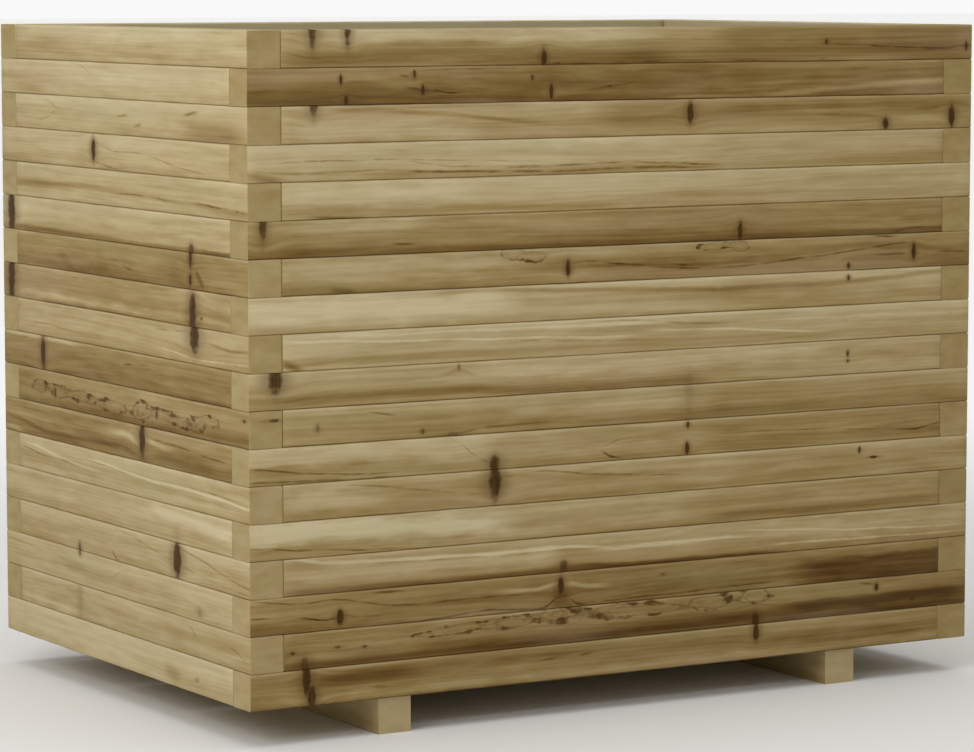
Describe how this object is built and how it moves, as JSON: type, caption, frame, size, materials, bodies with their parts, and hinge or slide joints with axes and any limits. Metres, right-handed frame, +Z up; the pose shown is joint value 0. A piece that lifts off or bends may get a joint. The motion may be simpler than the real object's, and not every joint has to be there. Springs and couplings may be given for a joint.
{
  "type": "raised garden bed",
  "caption": "Rectangular raised garden bed of stacked square timber beams with interlocked corners, an open top, a boarded floor and two runners as feet.",
  "frame": {"origin": "on the ground, under the centre of the bed", "axes": "+X along the bed to its right, +Y from front to back, +Z up"},
  "size_m": [0.9, 0.6, 0.722],
  "materials": {
    "beam_wood": "planed pine, pressure treated, dry and matt",
    "foot_wood": "planed pine, pressure treated, dry and matt",
    "floor_wood": "rougher pine board, pressure treated",
    "screw_steel": "yellowish zinc-plated steel"
  },
  "bodies": {
    "root": {"beam_screws": "screw_steel", "course_01_long_beams": "beam_wood", "course_01_short_beams": "beam_wood", "course_02_long_beams": "beam_wood", "course_02_short_beams": "beam_wood", "course_03_long_beams": "beam_wood", "course_03_short_beams": "beam_wood", "course_04_long_beams": "beam_wood", "course_04_short_beams": "beam_wood", "course_05_long_beams": "beam_wood", "course_05_short_beams": "beam_wood", "course_06_long_beams": "beam_wood", "course_06_short_beams": "beam_wood", "course_07_long_beams": "beam_wood", "course_07_short_beams": "beam_wood", "course_08_long_beams": "beam_wood", "course_08_short_beams": "beam_wood", "course_09_long_beams": "beam_wood", "course_09_short_beams": "beam_wood", "course_10_long_beams": "beam_wood", "course_10_short_beams": "beam_wood", "course_11_long_beams": "beam_wood", "course_11_short_beams": "beam_wood", "course_12_long_beams": "beam_wood", "course_12_short_beams": "beam_wood", "course_13_long_beams": "beam_wood", "course_13_short_beams": "beam_wood", "course_14_long_beams": "beam_wood", "course_14_short_beams": "beam_wood", "course_15_long_beams": "beam_wood", "course_15_short_beams": "beam_wood", "course_16_long_beams": "beam_wood", "course_16_short_beams": "beam_wood", "course_17_long_beams": "beam_wood", "course_17_short_beams": "beam_wood", "course_18_long_beams": "beam_wood", "course_18_short_beams": "beam_wood", "floor_board_1": "floor_wood", "floor_board_2": "floor_wood", "floor_board_3": "floor_wood", "floor_screws": "screw_steel", "foot_screws": "screw_steel", "left_foot": "foot_wood", "right_foot": "foot_wood"}
  },
  "joints": []
}
